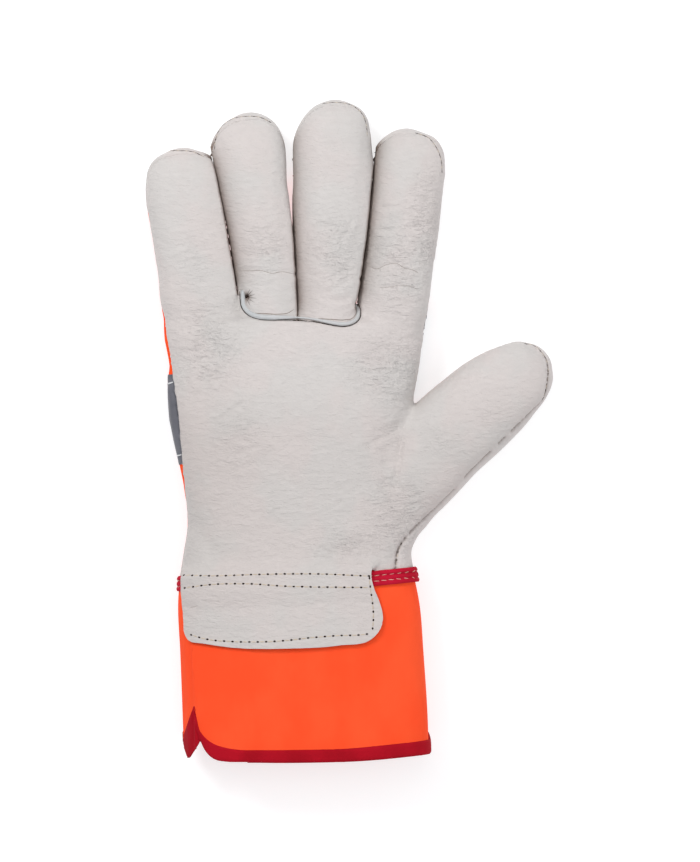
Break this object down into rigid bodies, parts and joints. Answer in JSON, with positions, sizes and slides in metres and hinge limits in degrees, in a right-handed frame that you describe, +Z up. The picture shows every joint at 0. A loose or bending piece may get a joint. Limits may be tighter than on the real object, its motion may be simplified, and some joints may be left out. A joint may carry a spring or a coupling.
{
  "type": "rigger glove",
  "caption": "Right-hand work glove lying palm up: one-piece leather palm with a flap over a stiff cuff, canvas back, leather fingertips, knuckle strip; hollow.",
  "frame": {"origin": "middle of the bounding box, on the surface the glove lies on", "axes": "+Y towards the fingertips, +X towards the thumb, +Z up out of the palm"},
  "size_m": [0.166, 0.2698, 0.0376],
  "materials": {
    "leather": "pale warm grey grain leather, fine creases, matt",
    "welt_leather": "blue-grey split leather, folded",
    "canvas": "fluorescent orange canvas",
    "cuff_cloth": "stiff rubberised fluorescent orange cloth with fine ribs",
    "binding_tape": "dark red woven tape",
    "reflective_tape": "grey reflective tape"
  },
  "bodies": {
    "root": {"palm_leather": "leather", "ring_finger_front": "leather", "middle_finger_front": "leather", "finger_welt": "welt_leather", "glove_back": "canvas", "index_finger_back": "leather", "little_fingertip": "leather", "ring_fingertip": "leather", "middle_fingertip": "leather", "thumb_back": "leather", "knuckle_strip": "reflective_tape", "wrist_binding": "binding_tape", "cuff": "cuff_cloth", "hem_binding": "binding_tape"}
  },
  "joints": []
}
